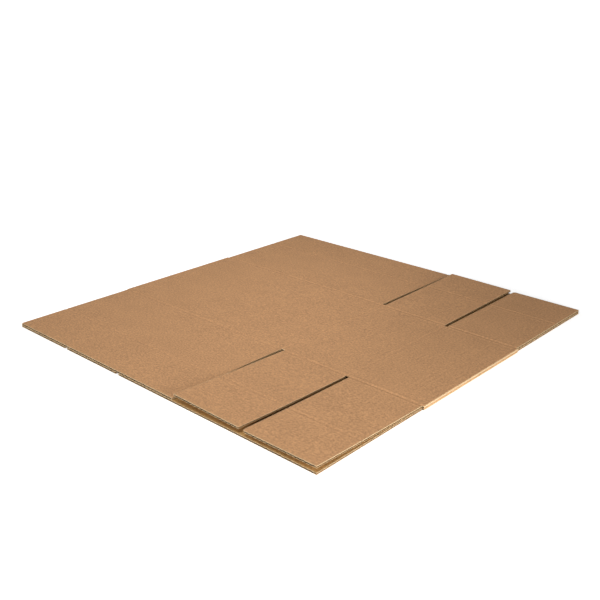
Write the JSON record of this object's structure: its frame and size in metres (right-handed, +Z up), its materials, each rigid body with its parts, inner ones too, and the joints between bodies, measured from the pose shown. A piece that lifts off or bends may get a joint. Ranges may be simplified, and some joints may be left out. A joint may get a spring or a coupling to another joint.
{
  "type": "flattened cardboard box",
  "caption": "Plain slotted carton of brown corrugated board, folded flat: a creased tube with slotted flaps at both ends and a glued tab, its upper flaps sprung up a little.",
  "frame": {"origin": "under the middle of the carton, on the surface that it lies on", "axes": "+Z up through the two boards, +Y along the flutes towards the far flaps, +X across the flutes towards the folded edge with the narrow flaps on the upper side"},
  "size_m": [0.53, 0.551, 0.0121],
  "materials": {
    "board": "matte"
  },
  "bodies": {
    "root": {"flattened_box": "board"}
  },
  "joints": []
}
